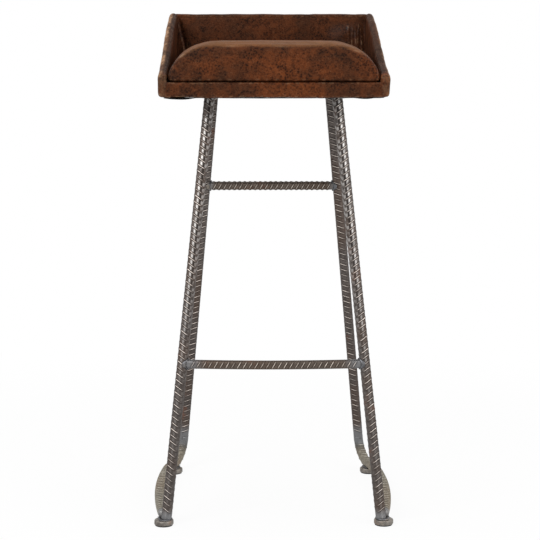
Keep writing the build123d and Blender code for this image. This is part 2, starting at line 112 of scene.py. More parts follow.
class Nodes:
    # A node tree, and the one way that nodes are put into it.
    def __init__(self, tree):
        self.tree = tree

    def add(self, kind, settings=None, inputs=None, output=0):
        node = self.tree.nodes.new(kind)
        for key, value in (settings or {}).items():
            setattr(node, key, value)
        pairs = inputs.items() if isinstance(inputs, dict) else enumerate(inputs or [])
        for key, value in pairs:
            if isinstance(value, Wire):
                self.tree.links.new(value.socket, node.inputs[key])
            else:
                node.inputs[key].default_value = value
        return Wire(self, node.outputs[output]) if node.outputs else None

    def vector(self, operation, *inputs, output=0):
        return self.add("ShaderNodeVectorMath", {"operation": operation}, list(inputs), output)

    def scaled(self, vector, factor):
        return self.add("ShaderNodeVectorMath", {"operation": "SCALE"}, {0: vector, "Scale": factor})

    def noise(self, place, scale, detail=3.0, rough=0.55, distort=0.0):
        return self.add("ShaderNodeTexNoise", {}, {"Vector": place, "Scale": scale, "Detail": detail,
                                                  "Roughness": rough, "Distortion": distort})

    def cells(self, place, scale, output="Distance"):
        return self.add("ShaderNodeTexVoronoi", {}, {"Vector": place, "Scale": scale}, output)

    def tint(self, factor, low, high):
        # A colour between two others.
        return self.add("ShaderNodeMix", {"data_type": "RGBA"}, {0: factor, 6: low, 7: high}, 2)

    def layered(self, base, *layers):
        # A colour with others laid over it in turn, each by a factor that the Mix node holds between 0 and 1.
        for factor, over in layers:
            base = self.tint(factor, base, over)
        return base

    def stretched(self, place, scale, turn=(0, 0, 0)):
        return self.add("ShaderNodeMapping", {}, {"Vector": place, "Scale": scale, "Rotation": turn})

    def mark(self, name):
        # A number that the mesh carries.
        return self.add("ShaderNodeAttribute", {"attribute_name": name}, output="Fac")


def colour(red, green, blue):
    # A colour as it looks on screen, for a socket that takes light values.
    return (*[(part / 255 / 12.92) if part < 11 else ((part / 255 + 0.055) / 1.055) ** 2.4
              for part in (red, green, blue)], 1.0)


def emptyTree(owner):
    owner.use_nodes = True
    owner.node_tree.nodes.clear()
    return Nodes(owner.node_tree)


def material(name):
    # A new material, its nodes and the place on the piece.
    made = bpy.data.materials.new(name)
    nodes = emptyTree(made)
    return made, nodes, nodes.add("ShaderNodeTexCoord", output="Object")


def surface(nodes, base, rough, height, depth, strength, others):
    # The shader at the end of a material, with a bump of some depth.
    bump = nodes.add("ShaderNodeBump", {}, {"Height": height, "Distance": depth, "Strength": strength})
    shader = nodes.add("ShaderNodeBsdfPrincipled", {},
                       {"Base Color": base, "Roughness": rough, "Normal": bump, **others})
    nodes.add("ShaderNodeOutputMaterial", {}, {"Surface": shader})


# Finishes

def distressedLeather():
    look = dict(rust=colour(95, 50, 26), umber=colour(61, 35, 22), soot=colour(19, 13, 11),
                tan=colour(112, 73, 42), paleWearAndHighlight=colour(164, 128, 98))
    made, nodes, place = material("distressedLeather")
    sitWearAndTopLight = nodes.mark("sitWearAndTopLight")            # sitting wear, and painted top light that makes the top paler
    edges = nodes.mark("edge").ramped(0.12, 0.7)
    clouds = nodes.noise(place, 19, 3, 0.55)
    wide = nodes.noise(place, 28, 3, 0.55).ramped(0.38, 0.62)
    clusters = nodes.noise(place, 62, 3, 0.55, 0.8).ramped(0.36, 0.54)
    jitter = nodes.vector("ADD", place, nodes.scaled(nodes.noise(place, 420, 2).out("Color"), 0.0022))
    specks = 1 - nodes.cells(jitter, 275).ramped(0.2, 0.62)
    stray = nodes.noise(place, 290, 3, 0.6, 0.3).ramped(0.54, 0.6)
    streak = nodes.noise(nodes.stretched(place, (1, 1, 2.2), (0.5, 0.3, 0.4)), 70, 3, 0.6, 2.5)
    scuffs = streak.ramped(0.474, 0.486) * (1 - streak.ramped(0.488, 0.5))
    wornAndHighlight = 1 - sitWearAndTopLight * 0.6
    fleck = ((clusters * (0.45 + wide * 0.55) * specks + stray * 0.45) * wornAndHighlight).clamped()
    smudge = (clusters * (0.2 + wide * 0.5) * 0.5 * wornAndHighlight).clamped()
    paintedShade = nodes.mark("paintedShade")            # painted shade: up to 1 turns it brown, past that darker still
    # edge wear, partly a painted highlight on the outward bends
    wearAndHighlight = edges * nodes.noise(place, 150, 4).ramped(0.45, 0.62) * 0.34
    # painted highlight on the side panels' outer edges and the cushion's front crest, partly rubbed wear
    rub = nodes.mark("rub") * nodes.noise(place, 130, 4).ramped(0.3, 0.6)
    base = nodes.tint(clouds.ramped(0.34, 0.64), look["umber"], look["rust"])
    base = nodes.layered(base, (paintedShade * 0.5, look["umber"]), ((paintedShade - 1) * 0.3, look["soot"]), (sitWearAndTopLight * 0.74, look["tan"]),
                         (smudge, look["soot"]), (scuffs * 0.16, look["paleWearAndHighlight"]), (fleck * 0.8, look["soot"]),
                         (wearAndHighlight, look["paleWearAndHighlight"]), (rub, look["paleWearAndHighlight"]))
    grain = nodes.cells(place, 760).ramped(0.05, 0.75)
    pores = nodes.noise(place, 900, 3, 0.6)
    creases = nodes.noise(nodes.stretched(place, (1, 1, 1.6)), 95, 5, 0.62, 1.2)
    rough = (0.46 + smudge * 0.2 - edges * 0.06 + pores * 0.12).clamped(0.3, 0.85)
    height = grain * 0.35 + pores * 0.25 + creases * 1.0 - fleck * 0.25
    gloss = (nodes.mark("shine") * 0.45 + edges * 0.08).clamped()
    surface(nodes, base, rough, height, 0.0007, 0.5,
            {"IOR": 1.16, "Specular IOR Level": 0.2, "Coat Weight": gloss, "Coat Roughness": 0.22})
    return made


legLook = dict(heel=0.0, bent=colour(60, 55, 50), scale=colour(110, 103, 99), dark=colour(74, 68, 65),
               brown=colour(88, 71, 60), rust=colour(116, 70, 46), ground=colour(118, 119, 121),
               wornAndHighlight=colour(228, 216, 206), polish=colour(216, 213, 210), shadeColour=colour(36, 32, 30))
crossLook = {**legLook, "scale": colour(112, 101, 92), "dark": colour(80, 71, 64), "wornAndHighlight": colour(208, 197, 186)}
runnerLook = {**legLook, "heel": 0.85, "scale": colour(170, 163, 148), "dark": colour(122, 116, 105),
              "brown": colour(132, 115, 94), "rust": colour(128, 96, 66),
              "wornAndHighlight": colour(236, 230, 218), "shadeColour": colour(44, 40, 35)}


def rolledSteel(name, look):
    made, nodes, place = material(name)
    # root carries painted shade beside the ribs and in the gaps between them
    crest, root = nodes.mark("crest"), nodes.mark("root")
    ground = nodes.mark("ground").ramped(0.05, 0.75)
    mill = nodes.noise(place, 150, 5, 0.62)
    fine = nodes.noise(place, 620, 4, 0.6)
    rusty = nodes.noise(place, 21, 5, 0.66, 0.5).ramped(0.58, 0.72) * fine.ramped(0.35, 0.6)
    # Rib crests worn bright, partly a painted highlight
    rub = crest.ramped(0.55, 0.95) * (0.6 + nodes.noise(place, 170, 3).ramped(0.3, 0.6) * 0.4)
    level = nodes.add("ShaderNodeSeparateXYZ", {}, [place], "Z")
    high = level.ramped(0.15, 0.62)
    # Painted reflection: pale dashes between the ribs, mostly high on the legs
    glint = nodes.mark("polish") * nodes.noise(place, 80, 3, 0.6).ramped(0.34, 0.56) * (0.1 + high * 0.9)
    stain = nodes.noise(place, 13, 3).ramped(0.42, 0.66)
    base = nodes.tint(mill.ramped(0.32, 0.66) * (0.4 + high * 0.6), look["dark"], look["scale"])
    base = nodes.layered(base, (stain * 0.5, look["brown"]), (rusty * 0.75, look["rust"]),
                         (level.ramped(0.026, 0.052) * look["heel"], look["bent"]), (ground * 0.8, look["ground"]),
                         (root * 0.85, look["shadeColour"]), (glint, look["polish"]), (rub, look["wornAndHighlight"]))
    rough = (0.52 + fine * 0.14 + rusty * 0.2 - rub * 0.24 - ground * 0.12).clamped(0.2, 0.9)
    metal = (0.88 - rusty * 0.6).clamped()
    surface(nodes, base, rough, fine * 0.6 + mill * 0.4, 0.0004, 0.6, {"Metallic": metal})
    return made


def weldSteel():
    look = dict(grey=colour(112, 113, 117), dark=colour(80, 79, 80), straw=colour(136, 120, 98))
    made, nodes, place = material("weldSteel")
    heat = nodes.noise(place, 90, 4, 0.6, 0.6)
    fine = nodes.noise(place, 700, 3, 0.6)
    base = nodes.tint(heat.ramped(0.38, 0.62), look["dark"], look["grey"])
    base = nodes.tint(nodes.noise(place, 45, 3).ramped(0.55, 0.72) * 0.5, base, look["straw"])
    surface(nodes, base, 0.36 + fine * 0.22, heat * 0.6 + fine * 0.4, 0.0005, 0.6, {"Metallic": 0.9})
    return made


def discSteel():
    look = dict(grey=colour(138, 132, 125), dark=colour(100, 95, 90), rust=colour(124, 98, 78))
    made, nodes, place = material("discSteel")
    blot = nodes.noise(place, 110, 5, 0.62)
    fine = nodes.noise(place, 800, 3, 0.6)
    turned = nodes.noise(nodes.stretched(place, (1, 1, 14)), 60, 3)
    base = nodes.tint(blot.ramped(0.34, 0.64), look["dark"], look["grey"])
    base = nodes.tint(nodes.noise(place, 55, 4).ramped(0.58, 0.72) * 0.6, base, look["rust"])
    surface(nodes, base, 0.42 + fine * 0.2, blot * 0.5 + turned * 0.4 + fine * 0.3, 0.0004, 0.6, {"Metallic": 0.85})
    return made


def padRubber():
    made, nodes, place = material("padRubber")
    dust = nodes.noise(place, 130, 4, 0.6)
    base = nodes.tint(dust.ramped(0.4, 0.75), colour(22, 21, 21), colour(48, 46, 44))
    surface(nodes, base, 0.7 + dust * 0.2, nodes.noise(place, 900, 3), 0.0003, 0.5, {})
    return made


def zincHardware():
    made, nodes, place = material("zincHardware")
    spangle = nodes.cells(place, 240, output="Color")
    cloud = nodes.noise(place, 200, 3)
    base = nodes.tint(cloud.ramped(0.3, 0.7), colour(150, 150, 146), colour(190, 190, 184))
    surface(nodes, base, 0.3 + cloud * 0.2, spangle, 0.0002, 0.3, {"Metallic": 1.0})
    return made


def rawPlywood():
    made, nodes, place = material("rawPlywood")
    figure = nodes.noise(nodes.stretched(place, (6, 60, 60)), 1, 5, 0.6, 0.8)
    plies = nodes.add("ShaderNodeTexWave", {"bands_direction": "Z"},
                      {"Vector": place, "Scale": 110, "Distortion": 0.6, "Detail": 1}, "Fac")
    base = nodes.tint(figure.ramped(0.3, 0.7), colour(176, 136, 92), colour(205, 170, 124))
    base = nodes.tint(plies.ramped(0.6, 0.9) * 0.3, base, colour(140, 100, 64))
    surface(nodes, base, 0.6 + figure * 0.2, figure, 0.0004, 0.4, {})
    return made


def dustCloth():
    made, nodes, place = material("dustCloth")
    fibre = nodes.noise(nodes.stretched(place, (1, 3, 1)), 500, 4, 0.7, 2)
    dimple = nodes.cells(place, 420)
    base = nodes.tint(fibre.ramped(0.35, 0.7), colour(16, 16, 17), colour(40, 40, 42))
    surface(nodes, base, 0.8 + fibre * 0.15, fibre * 0.6 + dimple * 0.6, 0.0005, 0.6, {})
    return made


leather = distressedLeather()
legSteel = rolledSteel("rolledSteel", legLook)
crossSteel = rolledSteel("crossSteel", crossLook)
runnerSteel = rolledSteel("runnerSteel", runnerLook)
weldMetal = weldSteel()
discMetal = discSteel()
rubber = padRubber()
zinc = zincHardware()
plywood = rawPlywood()
cloth = dustCloth()
print("finishes made")


# Meshes and how they join the stool

def newObject(name, mesh, finish):
    mesh.materials.clear()
    mesh.materials.append(finish)
    made = bpy.data.objects.new(name, mesh)
    scene.collection.objects.link(made)
    return made


def formOf(mesh):
    form = bmesh.new()
    form.from_mesh(mesh)
    return form


def meshOf(form):
    # A plain mesh from a bmesh, with its faces outwards and smooth.
    bmesh.ops.recalc_face_normals(form, faces=form.faces)
    made = bpy.data.meshes.new("mesh")
    form.to_mesh(made)
    form.free()
    made.polygons.foreach_set("use_smooth", [True] * len(made.polygons))
    return made


def applied(piece):
    # Works the piece's modifiers into its mesh.
    graph = bpy.context.evaluated_depsgraph_get()
    made = bpy.data.meshes.new_from_object(piece.evaluated_get(graph))
    old = piece.data
    piece.modifiers.clear()
    piece.data = made
    bpy.data.meshes.remove(old)


def remeshed(piece, voxel, smoothing):
    # An even skin over a rough form, with its corners eased.
    skin = piece.modifiers.new("skin", "REMESH")
    skin.mode = "VOXEL"
    skin.voxel_size = voxel
    ease = piece.modifiers.new("ease", "SMOOTH")
    ease.factor = 0.5
    ease.iterations = smoothing
    applied(piece)
    piece.data.polygons.foreach_set("use_smooth", [True] * len(piece.data.polygons))


def shaped(piece, move):
    # Moves each point by what move says for its place and normal.
    mesh = piece.data
    normals = [Vector(corner.vector) for corner in mesh.vertex_normals]
    for point, normal in zip(mesh.vertices, normals):
        point.co += move(point.co, normal)
    mesh.update()


def markEdges(piece, spread):
    # Notes how far each point bends outwards, so that the finish can wear there and take a painted highlight.
    form = formOf(piece.data)
    bend = {}
    for vertex in form.verts:
        angles = [edge.calc_face_angle_signed(0) / max(edge.calc_length(), 1e-6) for edge in vertex.link_edges
                  if len(edge.link_faces) == 2]
        bend[vertex.index] = sum(angles) / max(len(angles), 1) * spread
    form.free()
    mark = piece.data.attributes.new("edge", "FLOAT", "POINT")
    mark.data.foreach_set("value", [clipped(bend[i]) for i in range(len(bend))])


def clipped(value):
    return max(0.0, min(1.0, value))


def ease(value, low, high):
    # 0 below low and 1 above high, with a soft change between.
    share = clipped((value - low) / (high - low))
    return share * share * (3 - 2 * share)


def ripple(place, scale, seed):
    return noise.noise(Vector(place) * scale + Vector((seed, seed * 0.7, seed * 1.3)))


def join(piece, slot, *nodes):
    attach(piece, "root")
    if nodes:
        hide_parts(*nodes)


def sizedTree(name, sizes):
    # A Geometry Nodes tree with a named input for each size and for the finish.
    tree = bpy.data.node_groups.new(name, "GeometryNodeTree")
    tree.interface.new_socket("Geometry", in_out="INPUT", socket_type="NodeSocketGeometry")
    kinds = {key: "NodeSocketInt" if isinstance(value, int) else "NodeSocketFloat" for key, value in sizes.items()}
    kinds["finish"] = "NodeSocketMaterial"
    keys = {key: tree.interface.new_socket(key, in_out="INPUT", socket_type=kind).identifier
            for key, kind in kinds.items()}
    tree.interface.new_socket("Geometry", in_out="OUTPUT", socket_type="NodeSocketGeometry")
    nodes = Nodes(tree)
    return keys, nodes, nodes.add("NodeGroupInput")


def closedTree(nodes, given, shape):
    shape = nodes.add("GeometryNodeRealizeInstances", {}, [shape])
    shape = nodes.add("GeometryNodeSetMaterial", {}, {"Geometry": shape, "Material": given.out("finish")})
    nodes.add("NodeGroupOutput", {}, [shape])
    return nodes.tree


# Ribbed bar: a Geometry Nodes tree that rolls a bar with slanted ribs along a path

barSizes = dict(radius=0.0086, flatDepth=0.0015, ribPitch=0.0102, ribHeight=0.0011, ribWidth=0.0026, ribReach=0.0085,
                rubReach=0.1, leanReach=0.0079, ribSlant=30.0, ribSpread=0.22, roll=0.0, polishSide=0.0,
                plainStart=0.012, plainEnd=0.012, groundStart=0.022, groundEnd=0.001, lump=0.0012,
                sides=40, rowsPerRib=12, endRows=8, seed=1)


def ribbedBarTree():
    keys, nodes, given = sizedTree("ribbedBar", barSizes)
    size = {name: given.out(name) for name in barSizes}
    radius, reach, leanReach, ribWidth = size["radius"], size["ribReach"], size["leanReach"], size["ribWidth"]
    rowsPerRib, endRows, around = size["rowsPerRib"], size["endRows"], size["sides"]
    path = nodes.add("GeometryNodeMeshToCurve", {}, [given])
    length = nodes.add("GeometryNodeCurveLength", {}, [path])
    ribbed = length - size["plainStart"] - size["plainEnd"]
    count = (ribbed / size["ribPitch"]).maths("ROUND").most(1)
    pitch = ribbed / count
    lastRow = count * rowsPerRib + endRows * 2
    rows = lastRow + 3
    across = around + 1
    grid = nodes.add("GeometryNodeMeshGrid", {}, {"Vertices X": rows, "Vertices Y": across})
    index = nodes.add("GeometryNodeInputIndex")
    row = ((index + 0.5) / across).maths("FLOOR")
    angle = (index - row * across) / around * (2 * math.pi)
    cosine, sine = angle.maths("COSINE"), angle.maths("SINE")
    step = (row - 1).most(0).least(lastRow)
    cap = row.maths("LESS_THAN", 0.5) + row.maths("GREATER_THAN", rows - 1.5)
    # Rows crowd together at each rib's crest
    turn = ((step - endRows) / rowsPerRib).most(0).least(count)
    rib = turn.least(count - 0.001).maths("FLOOR")
    share = turn - rib
    share = share + (share * (2 * math.pi)).maths("SINE") * (0.55 / (2 * math.pi))
    atStart = (step / endRows).clamped()
    atEnd = ((lastRow - step) / endRows).clamped()
    along = size["plainStart"] * atStart + pitch * (rib + share) + size["plainEnd"] * (1 - atEnd)
    # Rows lean with the ribs, and come back square beside them
    sideways = radius * cosine
    breadth = sideways.maths("ABSOLUTE")
    lean = breadth.least(leanReach * (radius - breadth) / (radius - leanReach)) * sideways.maths("SIGN")
    slant = size["ribSlant"].maths("RADIANS")
    along = along + lean * sine.maths("SIGN") * slant.maths("TANGENT") * atStart * atEnd
    along = along.most(0).least(length)
    spot = nodes.add("GeometryNodeSampleCurve", {"mode": "LENGTH", "use_all_curves": True},
                     {"Curves": path, "Length": along}, "Position")
    tangent, normal = spot.out("Tangent"), spot.out("Normal")
    binormal = nodes.vector("CROSS_PRODUCT", tangent, normal)
    roll = size["roll"].maths("RADIANS")
    rollCos, rollSin = roll.maths("COSINE"), roll.maths("SINE")
    wide = nodes.vector("ADD", nodes.scaled(normal, rollCos), nodes.scaled(binormal, rollSin))
    deep = nodes.vector("SUBTRACT", nodes.scaled(binormal, rollCos), nodes.scaled(normal, rollSin))
    # Crescent ribs on the two flats
    off = (share - 0.5).maths("ABSOLUTE") * pitch * slant.maths("COSINE")
    crest = 1 - off.ramped(ribWidth * 0.06, ribWidth * 0.5)
    within = (1 - (sideways / reach) ** 2).clamped()
    outward, reflectionOn = cosine * size["polishSide"], size["polishSide"].maths("ABSOLUTE")
    # Painted reflection: pale dashes in a column between the ribs
    column = outward.ramped(-0.22, -0.12) * (1 - outward.ramped(0.12, 0.22)) + (1 - outward.ramped(-0.75, -0.6)) * 0.4
    reflectionDash = off.ramped(pitch * 0.16, pitch * 0.24) * column * reflectionOn
    # Painted shade at the root of each rib
    root = off.ramped(ribWidth * 0.25, ribWidth * 0.5) * (1 - off.ramped(ribWidth * 0.55, ribWidth * 1.1))
    crest = crest * within ** 0.45 * atStart.maths("FLOOR") * atEnd.maths("FLOOR")
    uneven = nodes.add("FunctionNodeRandomValue", {"data_type": "FLOAT"},
                       {2: 1 - size["ribSpread"], 3: 1.0, "ID": rib * 2 + sine.maths("GREATER_THAN", 0),
                        "Seed": size["seed"]}, 1)
    crest = crest * uneven
    flat = radius.least((radius - size["flatDepth"]) / sine.maths("ABSOLUTE").most(0.05))
    ground = (1 - along / size["groundStart"]).most(1 - (length - along) / size["groundEnd"]).clamped()
    lumpy = nodes.vector("ADD", spot, nodes.scaled(wide, cosine * radius))
    lumps = nodes.add("ShaderNodeTexNoise", {}, {"Vector": lumpy, "Scale": 170.0, "Detail": 2.0})
    level = nodes.add("ShaderNodeSeparateXYZ", {}, [spot], "Z")
    # Painted shade in the inner half of each gap, beside the painted reflection
    gapShade = off.ramped(ribWidth * 0.35, ribWidth * 0.6) * outward.ramped(-0.72, -0.6)
    gapShade = gapShade * (1 - outward.ramped(-0.34, -0.24))
    gapShade = gapShade * reflectionOn * (1 - ground) * (0.25 + level.ramped(0.2, 0.5) * 0.75)
    root = (root * within).most(gapShade)
    reachOut = (flat + crest * size["ribHeight"] + (lumps - 0.4) * ground * size["lump"]) * (1 - cap)
    out = nodes.vector("ADD", nodes.scaled(wide, cosine * reachOut), nodes.scaled(deep, sine * reachOut))
    bar = nodes.add("GeometryNodeSetPosition", {},
                    {"Geometry": grid, "Position": nodes.vector("ADD", spot, out)})
    # Crests for the worn colour, partly a painted highlight
    wearAndHighlight = crest * (1 - (sideways / size["rubReach"]) ** 2).clamped() ** 0.45
    for name, value in (("crest", wearAndHighlight), ("root", root), ("ground", ground), ("polish", reflectionDash)):
        bar = nodes.add("GeometryNodeStoreNamedAttribute", {"data_type": "FLOAT", "domain": "POINT"},
                        {"Geometry": bar, "Name": name, "Value": value})
    bar = nodes.add("GeometryNodeMergeByDistance", {}, {"Geometry": bar, "Distance": 0.00002})
    bar = nodes.add("GeometryNodeSetShadeSmooth", {}, [bar])
    return closedTree(nodes, given, bar), keys


barTree, barKeys = ribbedBarTree()


def grown(host, tree, keys, values):
    # Works a Geometry Nodes tree into the host's mesh.
    modifier = host.modifiers.new(tree.name, "NODES")
    modifier.node_group = tree
    for name, value in values.items():
        modifier[keys[name]] = value
    applied(host)


def rollTo(path, facing):
    # The roll that turns a row of ribs to face a direction.
    along = (path[-1] - path[0]).normalized()
    normal = Vector((along.y, -along.x, 0)).normalized()
    binormal = along.cross(normal)
    return math.degrees(math.atan2(-facing.dot(normal), facing.dot(binormal)))


def ribbedBar(node, path, finish, **changes):
    line = bpy.data.meshes.new(node)
    line.from_pydata([tuple(point) for point in path], [(i, i + 1) for i in range(len(path) - 1)], [])
    bar = newObject(f"{node}_bar", line, finish)
    grown(bar, barTree, barKeys, {**barSizes, **changes, "finish": finish})
    form = formOf(bar.data)
    bmesh.ops.recalc_face_normals(form, faces=form.faces)
    form.to_mesh(bar.data)
    form.free()
    join(bar, "ribbed_steel", node)


# Frame: the paths of its bars, on the right-hand side

stance = dict(legTop=(0.1045, 0.110, 0.713), frontFoot=(0.1785, -0.170, 0.010), heel=(0.1713, 0.2117, 0.0171),
              heelBend=0.038, heelStub=0.005, heelTurnOut=18.0, shoulderBend=0.250, shoulderTurn=13.0,
              runnerStep=(0.005, 0.003), footrestHeight=0.268, footrestBow=0.012, stretcherHeight=0.5465,
              frontRowTurn=17.0, rearRowTurn=-12.0, legLap=0.004)
seatBox = [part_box("side_cover_left")[0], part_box("side_cover_right")[1]]
seatY = (seatBox[0].y + seatBox[1].y) / 2


def placed(point, side=1):
    return Vector((point[0] * side, point[1] + seatY, point[2]))


def mirrored(path, side):
    return [Vector((point.x * side, point.y, point.z)) for point in path]


def turnedArc(start, heading, axis, radius, turn, count):
    # Points along an arc that leaves start along heading and bends about axis, and the heading at its end.
    centre = start + axis.cross(heading).normalized() * radius
    points = []
    for i in range(1, count + 1):
        spin = Matrix.Rotation(turn * i / count, 3, axis)
        points.append(centre + spin @ (start - centre))
    return points, Matrix.Rotation(turn, 3, axis) @ heading


def atHeight(low, high, height):
    return low + (high - low) * ((height - low.z) / (high.z - low.z))


frontFoot = placed(stance["frontFoot"])
legTop = Vector(stance["legTop"])
frontTop = Vector((legTop.x, seatY - legTop.y, legTop.z))
rearTop = Vector((legTop.x, seatY + legTop.y, legTop.z))
heel = placed(stance["heel"])
drop = (heel - rearTop).normalized()
turnOut = math.radians(stance["heelTurnOut"])
heading = Vector((math.sin(turnOut), -math.cos(turnOut), 0))
heelTurn = drop.angle(heading)
heelTangent = stance["heelBend"] * math.tan(heelTurn / 2)
heelStart = heel - drop * heelTangent
legJoint = heelStart - drop * stance["heelStub"]
heelPoints, _ = turnedArc(heelStart, drop, drop.cross(heading).normalized(), stance["heelBend"], heelTurn, 24)
shoulderPoints, bowHeading = turnedArc(heelPoints[-1], heading, -up, stance["shoulderBend"],
                                       math.radians(stance["shoulderTurn"]), 8)
runnerEnd = atHeight(frontFoot, frontTop, heel.z) + Vector((*stance["runnerStep"], 0))
chord = runnerEnd - shoulderPoints[-1]
bowIn = bowHeading.cross(up)
bowTurn = 2 * math.atan2(chord.dot(bowIn), chord.dot(bowHeading))
bowRadius = chord.length / 2 / math.sin(bowTurn / 2)
bowPoints, _ = turnedArc(shoulderPoints[-1], bowHeading, -up, bowRadius, bowTurn, 30)
runnerPath = [legJoint, heelStart, *heelPoints, *shoulderPoints, *bowPoints][::-1]
footrestEnd = atHeight(frontFoot, frontTop, stance["footrestHeight"])
stretcherEnd = atHeight(legJoint, rearTop, stance["stretcherHeight"])
footrestHalf = [Vector((footrestEnd.x * i / 20, footrestEnd.y - stance["footrestBow"] * (1 - (i / 20) ** 2),
                        footrestEnd.z)) for i in range(1, 21)]
footrestPath = [*mirrored(footrestHalf, -1)[::-1], footrestEnd - Vector((footrestEnd.x, stance["footrestBow"], 0)),
                *footrestHalf]

crossBar = dict(radius=0.0074, ribPitch=0.0095, leanReach=0.0064)


def frontFacing(turn, side):
    # Straight to the front, turned outwards by some degrees.
    return Vector((math.sin(math.radians(turn)) * side, -math.cos(math.radians(turn)), 0))


for name, side in sides.items():
    frontLeg = mirrored([frontFoot, frontTop], side)
    rearLeg = mirrored([legJoint + drop * stance["legLap"], rearTop], side)
    ribbedBar(f"front_leg_{name}", frontLeg, legSteel, ribSlant=-30.0 * side, seed=3 + side, polishSide=-side * 1.0,
              plainEnd=0.004, roll=rollTo(frontLeg, frontFacing(stance["frontRowTurn"], side)))
    ribbedBar(f"rear_leg_{name}", rearLeg, legSteel, ribSlant=22.0 * side, seed=7 + side, plainEnd=0.004,
              groundStart=0.04, roll=rollTo(rearLeg, frontFacing(stance["rearRowTurn"], side)))
    ribbedBar(f"runner_{name}", mirrored(runnerPath, side), runnerSteel, ribSlant=15.0 * side, seed=11 + side,
              ribPitch=0.0112, ribHeight=0.0014, plainEnd=0.014, groundEnd=0.03)
ribbedBar("footrest_bar", footrestPath, crossSteel, **crossBar, roll=90.0, ribReach=0.0068, seed=15,
          plainStart=0.014, plainEnd=0.014, groundStart=0.045, groundEnd=0.045)
ribbedBar("rear_stretcher", [*mirrored([stretcherEnd], -1), stretcherEnd], crossSteel, **crossBar, roll=103.0,
          ribReach=0.0088, rubReach=0.0068, ribHeight=0.0015, ribSpread=0.08, seed=17, groundEnd=0.022)
print("bars rolled")


# Weld beads: the CAD beads under an even, lumpy skin

weldSkin = dict(voxel=0.0009, smoothing=10, lump=0.0005, lumpScale=260, proud=0.0003)


def weldBead(node):
    copy = cad[node].data.copy()
    form = formOf(copy)
    bmesh.ops.remove_doubles(form, verts=form.verts, dist=1e-6)
    form.to_mesh(copy)
    form.free()
    bead = newObject(f"{node}_bead", copy, weldMetal)
    remeshed(bead, weldSkin["voxel"], weldSkin["smoothing"])
    shaped(bead, lambda place, normal: normal * (ripple(place, weldSkin["lumpScale"], 4.0) * weldSkin["lump"]
                                                 + weldSkin["proud"]))
    join(bead, "weld_steel", node)


for node in ("footrest_welds", "stretcher_welds", "front_foot_welds", "rear_foot_welds"):
    weldBead(node)
print("welds laid")


# Foot discs: turned pucks with eased rims

discShape = dict(rim=0.0022, sole=0.0007, dome=0.0014, dent=0.0004)


def footDisc(node):
    low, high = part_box(node)
    centre = (low + high) / 2
    radius, top, bottom = (high.x - low.x) / 2, high.z, low.z
    rim, sole = discShape["rim"], discShape["sole"]
    outline = [(0.0, top + discShape["dome"]), (radius * 0.45, top + discShape["dome"] * 0.8)]
    outline += [(radius - rim + rim * math.sin(math.radians(a)), top - rim + rim * math.cos(math.radians(a)))
                for a in (0, 22, 45, 68, 90)]
    outline += [(radius, bottom + sole), (radius - sole * 0.4, bottom + sole * 0.3), (radius - sole, bottom),
                (0.0, bottom)]
    form = bmesh.new()
    points = [form.verts.new((centre.x + r, centre.y, z)) for r, z in outline]
    line = [form.edges.new(pair) for pair in zip(points, points[1:])]
    bmesh.ops.spin(form, geom=points + line, cent=centre, axis=up, angle=2 * math.pi, steps=72, use_merge=True)
    bmesh.ops.remove_doubles(form, verts=form.verts, dist=1e-6)
    disc = newObject(f"{node}_puck", meshOf(form), discMetal)
    shaped(disc, lambda place, normal: normal * (ripple(place, 110, 9.0) * discShape["dent"]))
    join(disc, "disc_steel", node)


for end in ("front", "rear"):
    for name in sides:
        footDisc(f"{end}_foot_disc_{name}")
print("discs turned")


# Leather covers of the side panels, the back and the front edge

panelSkin = dict(voxel=0.0018, round=0.0055, edgeSpread=0.003)
sidePanel = dict(frontRise=0.034, sway=0.0039, frontCorner=0.006, backCorner=0.010, footCorner=0.004, swell=0.0016,
                 nose=0.6, proud=0.0008, smoothing=16, waves=(0.0007, 0.0003), fold=0.0012, hem=0.0008,
                 # highlightFrom: where the painted highlight starts on each panel's top edge, wider on the left
                 highlightFrom=dict(left=-0.1, right=0.45), endPale=0.13)
backPanel = dict(topRound=0.006, soften=0.002, swell=0.0025, tuck=0.006, smoothing=14,
                 pleats=(0.1405, 0.1475, 0.1535, 0.1585, 0.1640), pleatRise=0.0017, pleatWidth=0.0014,
                 creaseDepth=0.0036, creaseWidth=0.0021, pucker=0.0022, waves=(0.0008, 0.0004),
                 lip=0.0011, lipBelow=0.0065, lipWidth=0.0014)
borderStrip = dict(depth=0.012, lift=0.0007, tuck=0.004, soften=0.0012, proud=0.0004, smoothing=10,
                   waves=(0.0006, 0.0004), hem=0.0014, wrinkle=0.0006)


def roundedPrism(outline, corners, axis, start, depth, soften):
    # A prism over an outline whose named corners are rounded, with eased rims.
    form = bmesh.new()
    points = [form.verts.new(point) for point in outline]
    face = form.faces.new(points)
    for i, radius in corners.items():
        bmesh.ops.bevel(form, geom=[points[i]], offset=radius, segments=5, profile=0.5, affect="VERTICES")
    face = form.faces[:][0]
    lifted = bmesh.ops.extrude_face_region(form, geom=[face])
    bmesh.ops.translate(form, verts=[v for v in lifted["geom"] if isinstance(v, bmesh.types.BMVert)], vec=axis * depth)
    bmesh.ops.translate(form, verts=form.verts, vec=axis * start)
    bmesh.ops.recalc_face_normals(form, faces=form.faces)
    rims = [edge for edge in form.edges if len(edge.link_faces) == 2 and edge.calc_face_angle() > math.radians(60)]
    bmesh.ops.bevel(form, geom=rims, offset=soften, segments=4, profile=0.5, affect="EDGES", clamp_overlap=True)
    return meshOf(form)


def leatherPiece(name, mesh, smoothing, move, *nodes):
    piece = newObject(name, mesh, leather)
    remeshed(piece, panelSkin["voxel"], smoothing)
    shaped(piece, move)
    markEdges(piece, panelSkin["edgeSpread"])
    join(piece, "leather", *nodes)
    return piece


